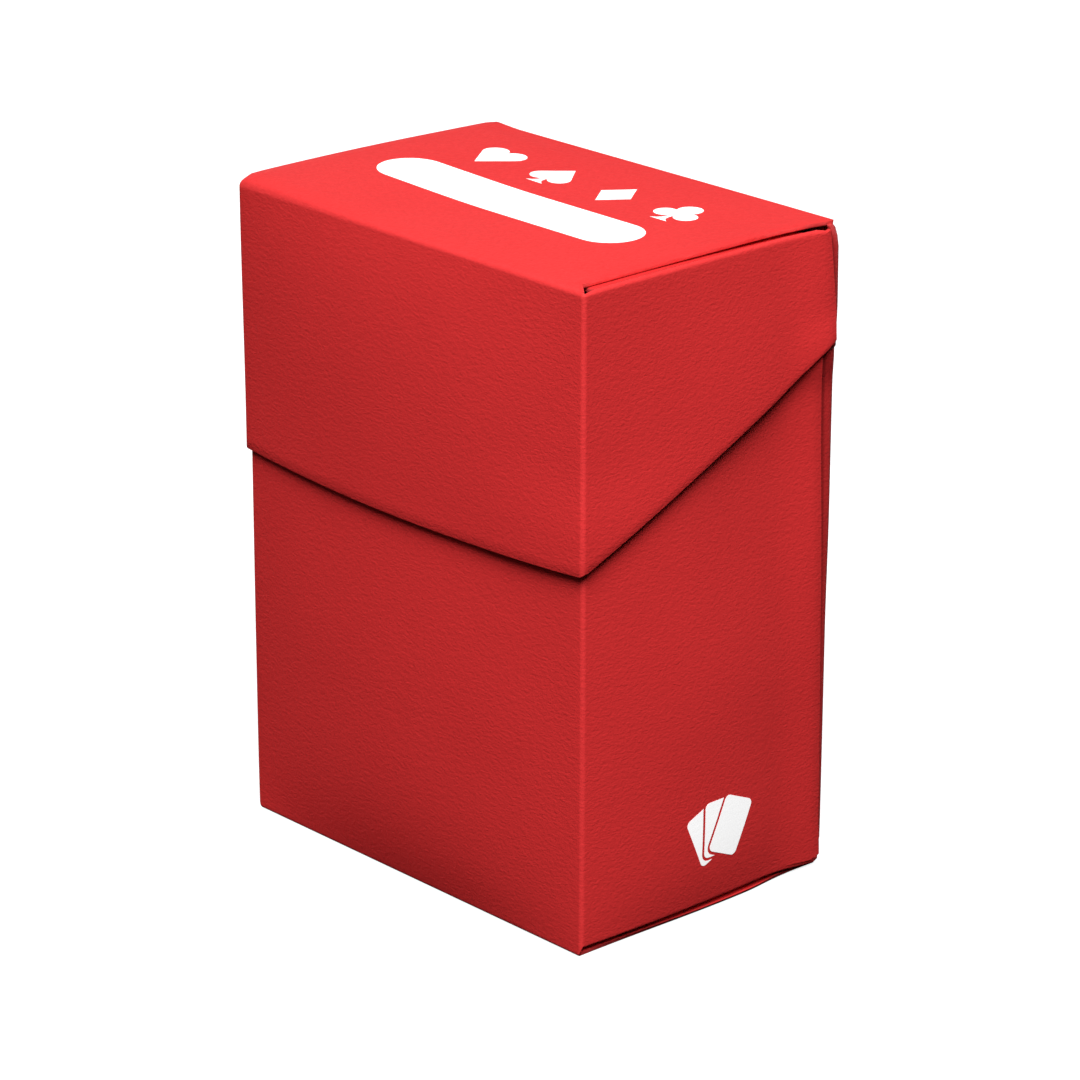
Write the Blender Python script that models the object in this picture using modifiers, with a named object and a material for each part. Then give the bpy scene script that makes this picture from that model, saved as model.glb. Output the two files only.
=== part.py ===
"""Hinged card deck box, folded from creased plastic sheet, with a loose divider inside.

Frame: +Z up, front face towards -Y, origin at the middle of the footprint, at floor level.
Dimensions below are in millimetres and become metres where a shape is made.
The lid turns about a crease across the back; its pieces hang on an empty that sits on that crease.
"""

import math

import bmesh
import bpy
from mathutils import Vector

MM = 0.001
NEAR = 1e-6

# The sleeved card that the box holds, and the sheet it is folded from
CARD_WIDTH = 66.0
CARD_HEIGHT = 91.0
SHEET = 0.6

# Outer size of the closed box
LID_WIDTH = 71.0
DEPTH = 48.6
HEIGHT = 96.0

# Air between layers
LID_CLEARANCE = 0.15
LAP_GAP = 0.06
SEAM = 0.03

# Folds, as outer radii
LID_FOLD = 1.2
BODY_FOLD = 1.0
FLOOR_FOLD = 1.1
TOP_BACK_FOLD = 1.5
GLUE_FOLD = 1.3
FOLD_STEPS = 5
FOLD_LEAD = 0.3  # straight sheet past the end of a fold, up to the seam

# Heights of the hinge crease and of the cut edges
HINGE_Z = 78.5
HINGE_WEB = 0.7
WEB_SHEET = 0.25
MOUTH_Z = 78.2
LID_FRONT_Z = 56.4
LID_FRONT_DIP = 0.7
LID_SIDE_FRONT_Z = 56.65
LID_SIDE_BACK_Z = 79.1

# Panels and flaps
TOP_HALF_WIDTH = 33.5
FLOOR_HALF_WIDTH = 33.7
FLAP_REACH = 20.0
FLAP_CHAMFER = 5.0
GLUE_REACH = 12.0
DIP_STEPS = 14

# How far cut edges stop short of the fold or panel beside them
SIDE_BACK_LOW = 0.3
SIDE_BACK_HIGH = 2.0
TOP_FLAP_BACK = 2.2
GLUE_ABOVE_FLOOR = 0.5
GLUE_BELOW_MOUTH = 0.6
GLUE_ABOVE_HINGE = 0.2

# Divider
DIVIDER_SHEET = 0.5
DIVIDER_HEIGHT = CARD_HEIGHT - 0.5
DIVIDER_TAB = (24.0, 4.5)
DIVIDER_TAB_INSET = 3.0
DIVIDER_CORNER = 3.0
DIVIDER_LIFT = 0.15

# Printing
INK = 0.1
INK_GAP = 0.02
LABEL_SIZE = (50.4, 10.0)
LABEL_CENTRE = (-2.0, -3.3)
SUIT_ROW_Y = 10.2
SUIT_ROW_X = (-19.5, -7.0, 5.5, 18.0)
SUIT_HEIGHT = 8.0
FAN_CENTRE = (1.4, 12.9)
FAN_CARD = (5.8, 8.4)
FAN_CARD_CORNER = 0.8
FAN_ANGLE = 24.0
FAN_PIVOT = 5.5
FAN_MARGIN = 0.45

# Worked out from the above
BODY_SIDE_X = LID_WIDTH / 2 - SHEET - LID_CLEARANCE
BODY_FRONT_Y = -DEPTH / 2 + SHEET + LID_CLEARANCE
LID_SIDE_X = LID_WIDTH / 2
LID_FRONT_Y = -DEPTH / 2
BACK_Y = DEPTH / 2
BODY_GLUE_X = BODY_SIDE_X - SHEET - LAP_GAP
LID_GLUE_X = LID_SIDE_X - SHEET - LAP_GAP
TOP_FLAP_Z = HEIGHT - SHEET - LAP_GAP
FLOOR_FLAP_Z = SHEET + 2 * LAP_GAP
FLAP_TOP_Z = FLOOR_FLAP_Z + SHEET
BODY_BACK_HALF = BODY_GLUE_X - GLUE_FOLD - FOLD_LEAD - SEAM
LID_BACK_HALF = LID_GLUE_X - TOP_BACK_FOLD - FOLD_LEAD - SEAM


# ---------------------------------------------------------------- scene and materials


def clear_scene():
    for thing in list(bpy.data.objects):
        bpy.data.objects.remove(thing)


def new_collection(name):
    collection = bpy.data.collections.new(name)
    bpy.context.scene.collection.children.link(collection)
    return collection


def new_material(name, colour, roughness):
    material = bpy.data.materials.new(name)
    material.use_nodes = True
    shader = material.node_tree.nodes["Principled BSDF"]
    shader.inputs["Base Color"].default_value = (*colour, 1.0)
    shader.inputs["Roughness"].default_value = roughness
    shader.inputs["Metallic"].default_value = 0.0
    return material


def new_empty(name, location, collection):
    empty = bpy.data.objects.new(name, None)
    empty.location = Vector(location) * MM
    collection.objects.link(empty)
    return empty


clear_scene()
PARTS = new_collection("card_deck_box")
CUTTERS = new_collection("cutters")
RED = new_material("red_sheet", (0.62, 0.020, 0.024), 0.48)
FROSTED = new_material("divider_sheet", (0.80, 0.81, 0.82), 0.40)
WHITE = new_material("white_ink", (0.93, 0.93, 0.93), 0.45)
BODY = new_empty("body_frame", (0, 0, 0), PARTS)
LID = new_empty("lid_axis", (0, BACK_Y, HINGE_Z), PARTS)
DIVIDER = new_empty("divider_frame", (0, 0, 0), PARTS)


def place(thing, material, parent):
    """Gives a finished piece its material and its parent; its coordinates stay those of the box."""
    PARTS.objects.link(thing)
    thing.data.materials.append(material)
    thing.parent = parent
    thing.location = Vector(thing.location) - parent.location
    return thing


# ---------------------------------------------------------------- outlines and shapes


def arc(centre, radius, start, end, steps=FOLD_STEPS):
    """Points along an arc, both ends included; angles in degrees."""
    angles = [math.radians(start + (end - start) * i / steps) for i in range(steps + 1)]
    return [(centre[0] + radius * math.cos(a), centre[1] + radius * math.sin(a)) for a in angles]


def rounded_rectangle(width, height, radius, steps=6):
    half_w, half_h = width / 2 - radius, height / 2 - radius
    corners = ((half_w, -half_h, -90), (half_w, half_h, 0), (-half_w, half_h, 90), (-half_w, -half_h, 180))
    return [p for x, y, a in corners for p in arc((x, y), radius, a, a + 90, steps)]


def moved(points, shift, turn=0.0):
    c, s = math.cos(math.radians(turn)), math.sin(math.radians(turn))
    return [(shift[0] + c * x - s * y, shift[1] + s * x + c * y) for x, y in points]


def flat_piece(name, outline, thickness, location, rotation, material, parent):
    """A flat closed outline, thickness thick, centred on location and turned by rotation."""
    curve = bpy.data.curves.new(name, "CURVE")
    curve.dimensions = "2D"
    curve.fill_mode = "BOTH"
    curve.extrude = thickness / 2 * MM
    spline = curve.splines.new("POLY")
    spline.points.add(len(outline) - 1)
    for point, (x, y) in zip(spline.points, outline):
        point.co = (x * MM, y * MM, 0, 1)
    spline.use_cyclic_u = True
    thing = bpy.data.objects.new(name, curve)
    thing.location = Vector(location) * MM
    thing.rotation_euler = rotation
    return place(thing, material, parent)


FACING_UP = (0, 0, 0)
FACING_FRONT = (math.pi / 2, 0, 0)
FACING_RIGHT = (math.pi / 2, 0, math.pi / 2)


def along(axis, a, b, c):
    """The point whose coordinate on axis is c, with a and b on the two axes that follow it."""
    ordered = {"X": (c, a, b), "Y": (b, c, a), "Z": (a, b, c)}
    return Vector(ordered[axis]) * MM


def folded_piece(name, path, axis, low, high, material, parent):
    """A sheet whose outer face follows path and runs along axis from low to high.

    path goes anticlockwise about the axis, so that the outer face looks away from the box.
    low and high give the cut edges as functions of a path point.
    """
    edit = bmesh.new()
    rails = [[edit.verts.new(along(axis, a, b, edge(a, b))) for a, b in path] for edge in (low, high)]
    for i in range(len(path) - 1):
        edit.faces.new((rails[0][i], rails[0][i + 1], rails[1][i + 1], rails[1][i]))
    mesh = bpy.data.meshes.new(name)
    edit.to_mesh(mesh)
    edit.free()
    thing = bpy.data.objects.new(name, mesh)
    solidify = thing.modifiers.new("sheet_thickness", "SOLIDIFY")
    solidify.thickness = SHEET * MM
    solidify.offset = -1.0
    solidify.use_even_offset = True
    return place(thing, material, parent)


def mirrored(path, side, index):
    """The path itself for side +1; for side -1 its mirror image, still anticlockwise."""
    if side > 0:
        return path
    flip = (-1, 1) if index == 0 else (1, -1)
    return [(a * flip[0], b * flip[1]) for a, b in reversed(path)]


def level(value):
    return lambda a, b: value


SIDES = (("right", 1), ("left", -1))


# ---------------------------------------------------------------- body of the box


def front_path(side_x, front_y, fold, stops):
    """Across the front from the left corner fold to the right one."""
    left = arc((-side_x + fold, front_y + fold), fold, 180, 270)
    right = arc((side_x - fold, front_y + fold), fold, 270, 360)
    end_y = front_y + fold + FOLD_LEAD
    return [(-side_x, end_y)] + left + [(x, front_y) for x in stops] + right + [(side_x, end_y)]


def make_body_front():
    fold_end = BODY_SIDE_X - BODY_FOLD
    corner_z = FLOOR_FLAP_Z + BODY_FOLD + FOLD_LEAD

    def bottom(x, y):
        return corner_z if abs(x) > fold_end + NEAR else FLOOR_FOLD + FOLD_LEAD + SEAM

    path = front_path(BODY_SIDE_X, BODY_FRONT_Y, BODY_FOLD, ())
    folded_piece("body_front_panel", path, "Z", bottom, level(MOUTH_Z), RED, BODY)


def make_body_side(label, side):
    front_y = BODY_FRONT_Y + BODY_FOLD + FOLD_LEAD + SEAM
    back_y = BACK_Y - GLUE_FOLD
    low_z = FLOOR_FLAP_Z + BODY_FOLD + FOLD_LEAD + SEAM
    outline = [(front_y, low_z), (back_y, low_z), (back_y, MOUTH_Z), (front_y, MOUTH_Z)]
    middle_x = side * (BODY_SIDE_X - SHEET / 2)
    flat_piece(f"body_{label}_side_panel", outline, SHEET, (middle_x, 0, 0), FACING_RIGHT, RED, BODY)


def make_body_floor_flap(label, side):
    """The side wall's lower wing, folded in to lie on the floor panel."""
    fold_x = BODY_SIDE_X - BODY_FOLD
    free_x = BODY_SIDE_X - FLAP_REACH
    fold_z = FLOOR_FLAP_Z + BODY_FOLD
    path = [(fold_z + FOLD_LEAD, BODY_SIDE_X)] + arc((fold_z, fold_x), BODY_FOLD, 90, 180)
    path += [(FLOOR_FLAP_Z, free_x + FLAP_CHAMFER), (FLOOR_FLAP_Z, free_x)]
    front_y, back_y = BODY_FRONT_Y + SHEET + BODY_FOLD, BACK_Y - GLUE_FOLD

    def set_back(z, x):
        return max(0.0, free_x + FLAP_CHAMFER - abs(x))

    folded_piece(
        f"body_{label}_floor_flap",
        mirrored(path, side, 1),
        "Y",
        lambda z, x: front_y + set_back(z, x),
        lambda z, x: back_y - set_back(z, x),
        RED,
        BODY,
    )


def make_body_floor():
    """The floor panel, with the fold up to the front and the fold up to the back."""
    front = arc((BODY_FRONT_Y + FLOOR_FOLD, FLOOR_FOLD), FLOOR_FOLD, 180, 270)
    back = arc((BACK_Y - FLOOR_FOLD, FLOOR_FOLD), FLOOR_FOLD, 270, 360)
    end_z = FLOOR_FOLD + FOLD_LEAD
    path = [(BODY_FRONT_Y, end_z)] + front + back + [(BACK_Y, end_z)]
    edges = level(-FLOOR_HALF_WIDTH), level(FLOOR_HALF_WIDTH)
    folded_piece("body_floor_panel", path, "X", *edges, RED, BODY)


def make_back_panel(name, half_width, low_z, high_z, parent):
    outline = [(-half_width, low_z), (half_width, low_z), (half_width, high_z), (-half_width, high_z)]
    flat_piece(name, outline, SHEET, (0, BACK_Y - SHEET / 2, 0), FACING_FRONT, RED, parent)


def make_glue_flap(name, side, glue_x, fold, low_z, high_z, parent):
    """A wing of the back panel, folded forward under the side wall."""
    free_y = BACK_Y - GLUE_REACH
    chamfer_y = free_y + FLAP_CHAMFER
    path = [(glue_x, free_y), (glue_x, chamfer_y)] + arc((glue_x - fold, BACK_Y - fold), fold, 0, 90)
    path += [(glue_x - fold - FOLD_LEAD, BACK_Y)]

    def set_back(x, y):
        return max(0.0, chamfer_y - y)

    folded_piece(
        name,
        mirrored(path, side, 0),
        "Z",
        lambda x, y: low_z + set_back(x, y),
        lambda x, y: high_z - set_back(x, y),
        RED,
        parent,
    )


def make_body():
    make_body_front()
    make_body_floor()
    crease_z = HINGE_Z - HINGE_WEB / 2
    low_z = FLOOR_FOLD + FOLD_LEAD + SEAM
    make_back_panel("body_back_panel", BODY_BACK_HALF, low_z, crease_z - SEAM, BODY)
    flap_low, flap_high = FLAP_TOP_Z + GLUE_ABOVE_FLOOR, MOUTH_Z - GLUE_BELOW_MOUTH
    for label, side in SIDES:
        make_body_side(label, side)
        make_body_floor_flap(label, side)
        make_glue_flap(f"body_{label}_glue_flap", side, BODY_GLUE_X, GLUE_FOLD, flap_low, flap_high, BODY)


# ---------------------------------------------------------------- hinged lid


def lid_front_edge(x, y):
    """Height of the lid's lower edge across the front and round its corner folds."""
    flat_half = LID_SIDE_X - LID_FOLD
    if abs(x) <= flat_half + NEAR:
        return LID_FRONT_Z - LID_FRONT_DIP * (1 - (x / flat_half) ** 2)
    return LID_FRONT_Z + (LID_SIDE_FRONT_Z - LID_FRONT_Z) * (y - LID_FRONT_Y) / LID_FOLD


def make_lid_front():
    flat_half = LID_SIDE_X - LID_FOLD
    stops = [flat_half * (2 * i / DIP_STEPS - 1) for i in range(1, DIP_STEPS)]
    top_z = HEIGHT - LID_FOLD - FOLD_LEAD - SEAM
    corner_z = TOP_FLAP_Z - LID_FOLD - FOLD_LEAD

    def top(x, y):
        return corner_z if abs(x) > flat_half + NEAR else top_z

    path = front_path(LID_SIDE_X, LID_FRONT_Y, LID_FOLD, stops)
    folded_piece("lid_front_panel", path, "Z", lid_front_edge, top, RED, LID)


def make_lid_side(label, side):
    """Side wall of the lid: a slanted lower edge, and a cut back edge that leans in towards the top."""
    front_y = LID_FRONT_Y + LID_FOLD + FOLD_LEAD + SEAM
    top_z = TOP_FLAP_Z - LID_FOLD - FOLD_LEAD - SEAM
    back_low, back_high = (BACK_Y - SIDE_BACK_LOW, LID_SIDE_BACK_Z), (BACK_Y - SIDE_BACK_HIGH, top_z)
    outline = [(front_y, LID_SIDE_FRONT_Z), back_low, back_high, (front_y, top_z)]
    middle_x = side * (LID_SIDE_X - SHEET / 2)
    flat_piece(f"lid_{label}_side_panel", outline, SHEET, (middle_x, 0, 0), FACING_RIGHT, RED, LID)


def make_lid_top_flap(label, side):
    """The side wall's upper wing, folded in under the top panel."""
    fold_x = LID_SIDE_X - LID_FOLD
    free_x = LID_SIDE_X - FLAP_REACH
    fold_z = TOP_FLAP_Z - LID_FOLD
    fold = arc((fold_z, fold_x), LID_FOLD, 0, 90)
    path = [(TOP_FLAP_Z, free_x), (TOP_FLAP_Z, free_x + FLAP_CHAMFER)] + fold
    path += [(fold_z - FOLD_LEAD, LID_SIDE_X)]
    front_y, back_y = LID_FRONT_Y + LID_FOLD + SHEET, BACK_Y - TOP_FLAP_BACK

    def set_back(z, x):
        return max(0.0, free_x + FLAP_CHAMFER - abs(x))

    folded_piece(
        f"lid_{label}_top_flap",
        mirrored(path, side, 1),
        "Y",
        lambda z, x: front_y + set_back(z, x),
        lambda z, x: back_y - set_back(z, x),
        RED,
        LID,
    )


def make_lid_top():
    """The top panel, with the fold down to the front and the fold down to the back."""
    back = arc((BACK_Y - TOP_BACK_FOLD, HEIGHT - TOP_BACK_FOLD), TOP_BACK_FOLD, 0, 90)
    front = arc((LID_FRONT_Y + LID_FOLD, HEIGHT - LID_FOLD), LID_FOLD, 90, 180)
    path = [(BACK_Y, HEIGHT - TOP_BACK_FOLD - FOLD_LEAD)] + back
    path += front + [(LID_FRONT_Y, HEIGHT - LID_FOLD - FOLD_LEAD)]
    edges = level(-TOP_HALF_WIDTH), level(TOP_HALF_WIDTH)
    folded_piece("lid_top_panel", path, "X", *edges, RED, LID)


def make_lid():
    make_lid_front()
    make_lid_top()
    low_z = HINGE_Z + HINGE_WEB / 2 + SEAM
    high_z = HEIGHT - TOP_BACK_FOLD - FOLD_LEAD - SEAM
    make_back_panel("lid_back_panel", LID_BACK_HALF, low_z, high_z, LID)
    flap_low, flap_high = low_z + GLUE_ABOVE_HINGE, TOP_FLAP_Z - LID_FOLD - SHEET
    for label, side in SIDES:
        make_lid_side(label, side)
        make_lid_top_flap(label, side)
        make_glue_flap(f"lid_{label}_glue_flap", side, LID_GLUE_X, TOP_BACK_FOLD, flap_low, flap_high, LID)


def make_hinge_crease():
    """The thinned line in the back that the lid turns about."""
    half = BODY_BACK_HALF
    outline = [(-half, -HINGE_WEB / 2), (half, -HINGE_WEB / 2), (half, HINGE_WEB / 2), (-half, HINGE_WEB / 2)]
    place_at = (0, BACK_Y - WEB_SHEET / 2, HINGE_Z)
    flat_piece("hinge_crease", outline, WEB_SHEET, place_at, FACING_FRONT, RED, BODY)


# ---------------------------------------------------------------- divider


def make_divider():
    """A flat card-size sheet with a finger tab, standing on the floor flaps."""
    tab_width, tab_height = DIVIDER_TAB
    half, radius = CARD_WIDTH / 2, DIVIDER_CORNER
    low_z = FLAP_TOP_Z + DIVIDER_LIFT
    shoulder_z = low_z + DIVIDER_HEIGHT - tab_height
    top_z = low_z + DIVIDER_HEIGHT
    tab_x = half - radius - DIVIDER_TAB_INSET
    outline = arc((-half + radius, low_z + radius), radius, 180, 270)
    outline += arc((half - radius, low_z + radius), radius, 270, 360)
    outline += arc((half - radius, shoulder_z - radius), radius, 0, 90)
    outline += arc((tab_x - radius, top_z - radius), radius, 0, 90)
    outline += arc((tab_x - tab_width + radius, top_z - radius), radius, 90, 180)
    outline += [(tab_x - tab_width, shoulder_z)]
    outline += arc((-half + radius, shoulder_z - radius), radius, 90, 180)
    flat_piece("divider", outline, DIVIDER_SHEET, (0, 0, 0), FACING_FRONT, FROSTED, DIVIDER)


# ---------------------------------------------------------------- printing


LOBE_STEPS = 14
FOOT = [(0.04, -0.26), (0.06, -0.36), (0.11, -0.44), (0.20, -0.5)]


def both_sides(half):
    """The closed outline whose right half runs from the top down, anticlockwise."""
    return [(-x, y) for x, y in half] + [(x, y) for x, y in reversed(half) if x > NEAR]


def heart():
    """Its lobe meets the straight side that runs to the point without a corner."""
    return both_sides([(0, 0.3)] + arc((0.235, 0.235), 0.245, 160, -36, LOBE_STEPS) + [(0, -0.5)])


def spade():
    return both_sides([(0, 0.5)] + arc((0.225, -0.11), 0.215, 39, -150, LOBE_STEPS) + FOOT)


def club():
    top = arc((0, 0.27), 0.23, 90, -34, LOBE_STEPS)
    right = arc((0.24, -0.08), 0.22, 102, -155, LOBE_STEPS)
    return both_sides(top + right + FOOT)


def diamond():
    return both_sides([(0, 0.5), (0.37, 0), (0, -0.5)])


def make_top_printing():
    """A blank stadium to write on, and a row of four card suits behind it."""
    ink_z = HEIGHT + INK_GAP + INK / 2
    length, width = LABEL_SIZE
    outline = rounded_rectangle(length, width, width / 2, 12)
    flat_piece("write_on_label", outline, INK, (*LABEL_CENTRE, ink_z), FACING_UP, WHITE, LID)
    suits = (("heart", heart()), ("spade", spade()), ("diamond", diamond()), ("club", club()))
    for x, (label, outline) in zip(SUIT_ROW_X, suits):
        sized = [(SUIT_HEIGHT * a, SUIT_HEIGHT * b) for a, b in outline]
        flat_piece(f"top_print_{label}", sized, INK, (x, SUIT_ROW_Y, ink_z), FACING_UP, WHITE, LID)


def as_mesh(thing):
    """The same object as a mesh with welded caps, so that a Boolean can use it."""
    bpy.context.view_layer.update()
    evaluated = thing.evaluated_get(bpy.context.evaluated_depsgraph_get())
    mesh = bpy.data.meshes.new_from_object(evaluated)
    edit = bmesh.new()
    edit.from_mesh(mesh)
    bmesh.ops.remove_doubles(edit, verts=edit.verts, dist=NEAR)
    bmesh.ops.recalc_face_normals(edit, faces=edit.faces)
    edit.to_mesh(mesh)
    edit.free()
    name, matrix, parent = thing.name, thing.matrix_world.copy(), thing.parent
    bpy.data.objects.remove(thing)
    solid = bpy.data.objects.new(name, mesh)
    PARTS.objects.link(solid)
    solid.parent = parent
    solid.matrix_world = matrix
    return solid


def cut_away(solid, cutter):
    cutter.hide_render = True
    cutter.display_type = "WIRE"
    PARTS.objects.unlink(cutter)
    CUTTERS.objects.link(cutter)
    boolean = solid.modifiers.new("cut", "BOOLEAN")
    boolean.operation = "DIFFERENCE"
    boolean.object = cutter


def make_side_printing():
    """Three fanned cards on the right side wall; each is cut clear of the next one, which lies over it."""
    ink_x = BODY_SIDE_X + INK_GAP + INK / 2
    width, height = FAN_CARD
    where = (ink_x, 0, 0)
    pivot = (FAN_CENTRE[0], FAN_CENTRE[1] - FAN_PIVOT)

    def card(grow, turn):
        shape = rounded_rectangle(width + 2 * grow, height + 2 * grow, FAN_CARD_CORNER + grow)
        return moved(moved(shape, (0, FAN_PIVOT)), pivot, turn)

    turns = (FAN_ANGLE, 0.0, -FAN_ANGLE)
    for i, turn in enumerate(turns):
        name = f"side_print_card_{i + 1}"
        solid = as_mesh(flat_piece(name, card(0, turn), INK, where, FACING_RIGHT, WHITE, BODY))
        if i + 1 < len(turns):
            outline = card(FAN_MARGIN, turns[i + 1])
            cutter = flat_piece(f"{name}_clearance", outline, 3 * INK, where, FACING_RIGHT, WHITE, BODY)
            cut_away(solid, as_mesh(cutter))


make_body()
make_hinge_crease()
make_lid()
make_divider()
make_top_printing()
make_side_printing()
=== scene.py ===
"""Looks of a hinged card deck box: creased plastic sheet, printed marks, loose divider, studio, camera.

Each panel and flap of the frame gets a thin closed sheet with rolled cut edges. The sheets of one body
are bent by one smooth field, so that they still meet along their creases. Sizes are in millimetres, and
so are the numbers in calls of between and share_of_way, which are places along an axis or along a path.
"""

import math

import bmesh
import bpy
from mathutils import Matrix, Vector


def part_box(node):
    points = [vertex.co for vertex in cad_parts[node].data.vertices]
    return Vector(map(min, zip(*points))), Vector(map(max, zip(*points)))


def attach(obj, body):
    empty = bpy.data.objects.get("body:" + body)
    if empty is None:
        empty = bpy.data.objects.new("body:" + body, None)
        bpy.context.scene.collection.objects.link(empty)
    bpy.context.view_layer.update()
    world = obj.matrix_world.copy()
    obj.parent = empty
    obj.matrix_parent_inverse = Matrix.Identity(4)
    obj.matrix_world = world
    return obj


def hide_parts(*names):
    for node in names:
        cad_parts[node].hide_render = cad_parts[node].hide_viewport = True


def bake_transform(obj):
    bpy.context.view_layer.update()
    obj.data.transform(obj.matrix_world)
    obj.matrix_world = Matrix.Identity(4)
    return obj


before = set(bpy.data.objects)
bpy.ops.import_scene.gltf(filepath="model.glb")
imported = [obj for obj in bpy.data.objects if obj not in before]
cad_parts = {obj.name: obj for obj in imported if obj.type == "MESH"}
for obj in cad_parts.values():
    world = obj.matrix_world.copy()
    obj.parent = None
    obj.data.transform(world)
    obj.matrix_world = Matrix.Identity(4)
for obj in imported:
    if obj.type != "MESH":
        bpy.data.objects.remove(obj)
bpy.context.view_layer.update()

MM = 0.001


def low(node):
    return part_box(node)[0] / MM


def high(node):
    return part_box(node)[1] / MM


# ---------------------------------------------------------------- sizes taken from the frame

LID_X, LID_Y = high("lid_front_panel").x, low("lid_front_panel").y
BODY_X, BODY_Y = high("body_front_panel").x, low("body_front_panel").y
BACK_Y = high("body_back_panel").y
TOP_Z = high("lid_top_panel").z
SHEET = BACK_Y - low("body_back_panel").y
MOUTH_Z = high("body_front_panel").z
FLAP_RAISE = 0.45       # the lid's top flaps sit that much higher than in the frame, close under the top
LID_FLAP_Z = high("lid_right_top_flap").z + FLAP_RAISE
FLOOR_FLAP_Z = low("body_right_floor_flap").z
LID_GLUE_X, BODY_GLUE_X = high("lid_right_glue_flap").x, high("body_right_glue_flap").x
LID_GLUE_FREE_Y, BODY_GLUE_FREE_Y = low("lid_right_glue_flap").y, low("body_right_glue_flap").y
TOP_FLAP_FREE_X, FLOOR_FLAP_FREE_X = low("lid_right_top_flap").x, low("body_right_floor_flap").x
LID_EDGE_DIP_Z, LID_SIDE_FRONT_Z = low("lid_front_panel").z, low("lid_right_side_panel").z
WEB_LOW_Z, WEB_HIGH_Z = low("hinge_crease").z, high("hinge_crease").z
WEB_SHEET = high("hinge_crease").y - low("hinge_crease").y
HINGE_Z = (WEB_LOW_Z + WEB_HIGH_Z) / 2

# ---------------------------------------------------------------- sizes of the sheets

LID_FOLD = 0.62
BODY_FOLD = 0.55
BACK_FOLD = 0.8         # from the back to the top and to the floor
GLUE_FOLD = 2.0         # from the back to the glue flaps
LEAD = 0.3              # flat sheet between the end of a fold and the seam
ROLL = 0.09             # rounding of a cut edge
SPACING = 1.6           # of mesh lines on a flat
FOLD_LINES = 10
SHARP_ANGLE = 32
WEB_COLUMNS, WEB_ROWS = 48, 12
WEB_GROOVE = 0.12       # depth of the crease on the outside

# Cut edges
LID_EDGE_Z = LID_EDGE_DIP_Z + 0.9
SLANT_LOW = (LID_Y + LID_FOLD + LEAD, LID_SIDE_FRONT_Z + 0.4)   # y and z of the slanted edge's ends
SLANT_HIGH = (22.2, 78.8)
SLANT_REAR_RISE = 0.95          # of its rear end above that line
LID_SIDE_BACK_LEAN = 1.45       # how much further forward the back edge is at its top
BODY_SIDE_BACK_Y = 22.0
BODY_SIDE_BACK_LEAN = (0.4, 0.0175)     # just above the floor, and more for every millimetre up
TOP_RIGHT_X = (32.9, 33.0)      # front and back ends of the slit along the top's right edge
TOP_LEFT_X = (35.15, 34.6)
TOP_FLAP_FRONT_CUT = 2.6        # from the front fold to the free part of a top flap
TOP_FLAP_BACK_Y = (18.8, 19.9)  # of the free part and at the fold
TAB_Y = 21.35                   # where the lid's side wall runs up behind the top flap
TAB_DROP = 0.15                 # from the top flap's face to the tab's end
FLOOR_HALF_WIDTH = 34.2         # at the front; then wider, and narrower again towards the back
FLOOR_SWELL, FLOOR_TAPER = 0.9, 1.0
FLOOR_FLAP_BACK_CUT = 0.7
FLOOR_FLAP_FRONT_CUT = 0.6
FLAP_CHAMFER = 5.0
GLUE_CORNER = 3.5               # radius of the rounded outer corners at the box's top and bottom
GLUE_CORNER_PULL = 0.4
GLUE_REACH = {"body": (0.7, 0.33), "lid": (0.33, 0.7)}  # of a glue flap's fold past the back: down and up
CORNER_REACH = math.radians(62)         # what is left of a three-way corner whose tip is cut away
CORNER_EDGE = 0.12                      # angle over which it is rounded off there

# Bends of the lid and the body, as distances that a wall moves
LID_FRONT_BOW = 1.4
LID_SIDE_BOW = 1.3
LID_SIDE_WIDEST_Y = 5
BODY_FRONT_BOW = 1.85
BODY_SIDE_BOW = 1.9
BODY_SIDE_FOOT = 0.35               # share of the side wall's bow that it keeps at its lower fold
BODY_FRONT_DRAWN_IN = 0.45          # share of its bow that the body's front loses under the lid
BODY_SIDE_DRAWN_IN = (0.6, 0.85)    # the same of its side walls, towards the front and towards the back
BACK_OUT = 0.7
REAR_CORNER_OUT = 0.55
HINGE_CORNER_OUT = {"body": 0.85, "lid": 0.45}      # more, beside the hinge
BODY_TOP_CORNER_OUT = 0.28          # more, from half the body's height up
LEFT_SHARE = 0.3                    # of the left rear corner in what the right one does
LID_LEFT_TAPER = 0.35               # how much narrower the lid gets on its left towards the open edge
LID_CORNER_FLARE = 0.4              # of its lower right corner
SIDE_STAND_OFF = 0.35               # of the right side walls' back edges from the glue flaps
BODY_TOP_STAND_OFF = 0.4            # share of it that is left under the lid
TOP_LIFT = 1.13                     # of the top's left edge
TOP_LIFT_CURVE = 0.0006             # fall of the lift away from its highest place, per square millimetre
TOP_LIFT_Y = -14.0
RIGHT_FLAP_SAG = 0.55               # of the right top flap towards the back, below
TOP_FLAP_TUCK = {"right": (0.55, 0.6), "left": (0.5, 0.7)}  # drop beside the fold, and over what length
SIDE_LIFT = 0.55                    # how much higher the side wall's lower fold is towards the front
SIDE_REAR_DROP = 0.8                # share of SIDE_LIFT that its rear end sits lower


def ease(t):
    """0 below 0, 1 above 1, and smooth between."""
    t = min(1.0, max(0.0, t))
    return t * t * (3 - 2 * t)


def bell(t):
    """1 at 0, falling smoothly to 0 at -1 and 1."""
    return (1 - min(1.0, abs(t)) ** 2) ** 2


def arch(t):
    """1 at 0, falling to 0 at -1 and 1, where it still slopes."""
    return max(0.0, 1 - t * t)


def mix(a, b, t):
    return a + (b - a) * t


def between(value, start, end):
    """0 up to start, 1 from end on, and smooth between; end may be the lower one."""
    return ease((value - start) / (end - start))


def share_of_way(value, start, end):
    """0 up to start, 1 from end on, and in proportion between."""
    return min(1.0, max(0.0, (value - start) / (end - start)))


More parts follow.
